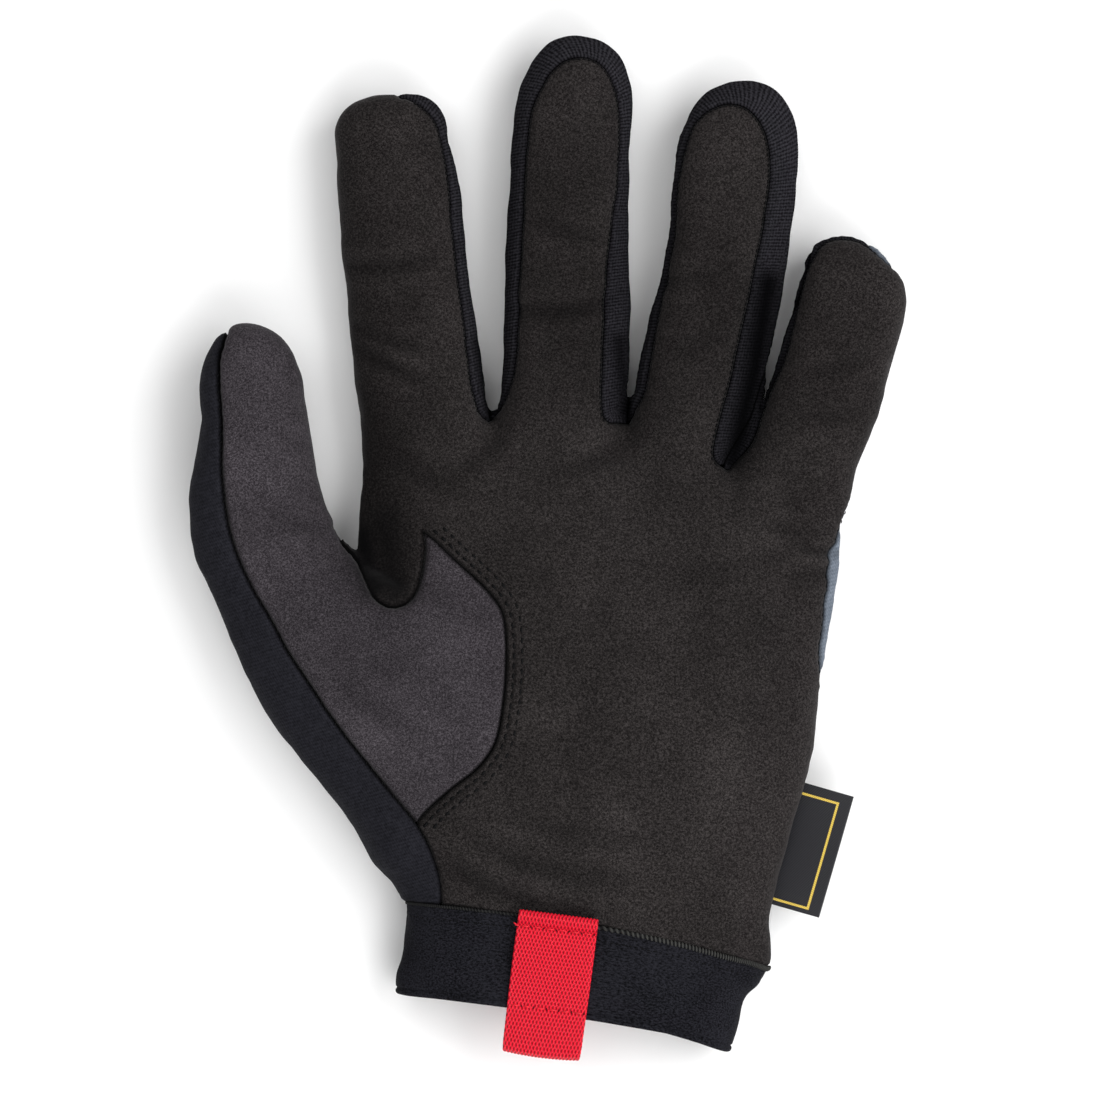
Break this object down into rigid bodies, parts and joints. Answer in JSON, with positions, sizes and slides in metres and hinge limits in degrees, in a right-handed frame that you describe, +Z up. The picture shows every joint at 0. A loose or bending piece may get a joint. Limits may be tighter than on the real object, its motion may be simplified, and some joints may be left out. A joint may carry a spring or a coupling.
{
  "type": "mechanic glove",
  "caption": "Left-hand work glove with a synthetic suede palm, a suede thumb panel, knit finger sides, an elastic cuff, a webbing pull tab and a folded side label.",
  "frame": {"origin": "on the surface the glove lies on, under the middle of the palm, on the flat of the back panel", "axes": "+Y from the cuff towards the fingertips, +X towards the little finger, +Z up out of the palm"},
  "size_m": [0.1712, 0.2457, 0.0292],
  "materials": {
    "palm_suede": "black synthetic suede with a fine nap",
    "thumb_suede": "charcoal synthetic suede with a fine nap",
    "black_knit": "black stretch knit, matte",
    "grey_knit": "grey-blue stretch knit, matte",
    "cuff_elastic": "black woven elastic, matte",
    "red_webbing": "red woven webbing, slight sheen",
    "label_satin": "black woven satin label with a plain yellow border"
  },
  "bodies": {
    "root": {"palm_panel": "palm_suede", "thumb_panel": "thumb_suede", "thumb_back_panel": "black_knit", "back_panel": "black_knit", "side_panel": "grey_knit", "index_gusset": "black_knit", "middle_gusset": "black_knit", "ring_gusset": "black_knit", "little_gusset": "black_knit", "cuff_band": "cuff_elastic", "pull_tab": "red_webbing", "side_label": "label_satin"}
  },
  "joints": []
}
